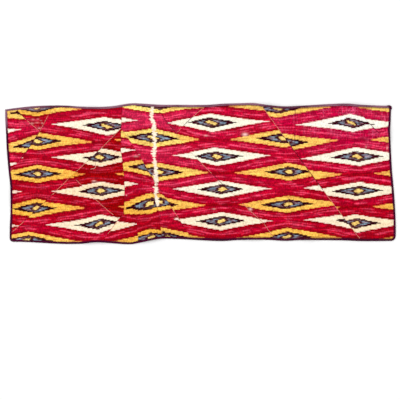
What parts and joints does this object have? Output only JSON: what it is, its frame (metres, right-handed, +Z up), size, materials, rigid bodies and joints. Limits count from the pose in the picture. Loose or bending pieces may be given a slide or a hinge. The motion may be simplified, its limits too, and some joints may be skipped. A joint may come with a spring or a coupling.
{
  "type": "ikat textile panel",
  "caption": "Long patchwork panel of warp ikat cloth with diamond figures, bound all round with a narrow folded tape, laid out flat as a runner, border or wall textile.",
  "frame": {"origin": "bottom centre of the laid-out panel's bounding box, on the surface that it lies on", "axes": "+X along the panel, along the cloth's warp, to the right in the picture; +Y across it, to the picture's top; +Z up from the surface"},
  "size_m": [1.2495, 0.4518, 0.0094],
  "materials": {
    "ikat_cloth": "woven, soft sheen",
    "tape_purple": "matt woven tape",
    "tape_mauve": "matt faded woven tape"
  },
  "bodies": {
    "root": {"panel_top_left": "ikat_cloth", "panel_gusset": "ikat_cloth", "panel_left_upper": "ikat_cloth", "panel_left_middle": "ikat_cloth", "panel_left_lower": "ikat_cloth", "panel_left_patch": "ikat_cloth", "panel_centre_low": "ikat_cloth", "panel_centre_strip": "ikat_cloth", "panel_centre_long": "ikat_cloth", "panel_centre_top": "ikat_cloth", "panel_right_long": "ikat_cloth", "panel_right_wide": "ikat_cloth", "panel_top_right": "ikat_cloth", "binding_bottom": "tape_purple", "binding_right": "tape_purple", "binding_top": "tape_mauve", "binding_left": "tape_purple"}
  },
  "joints": []
}
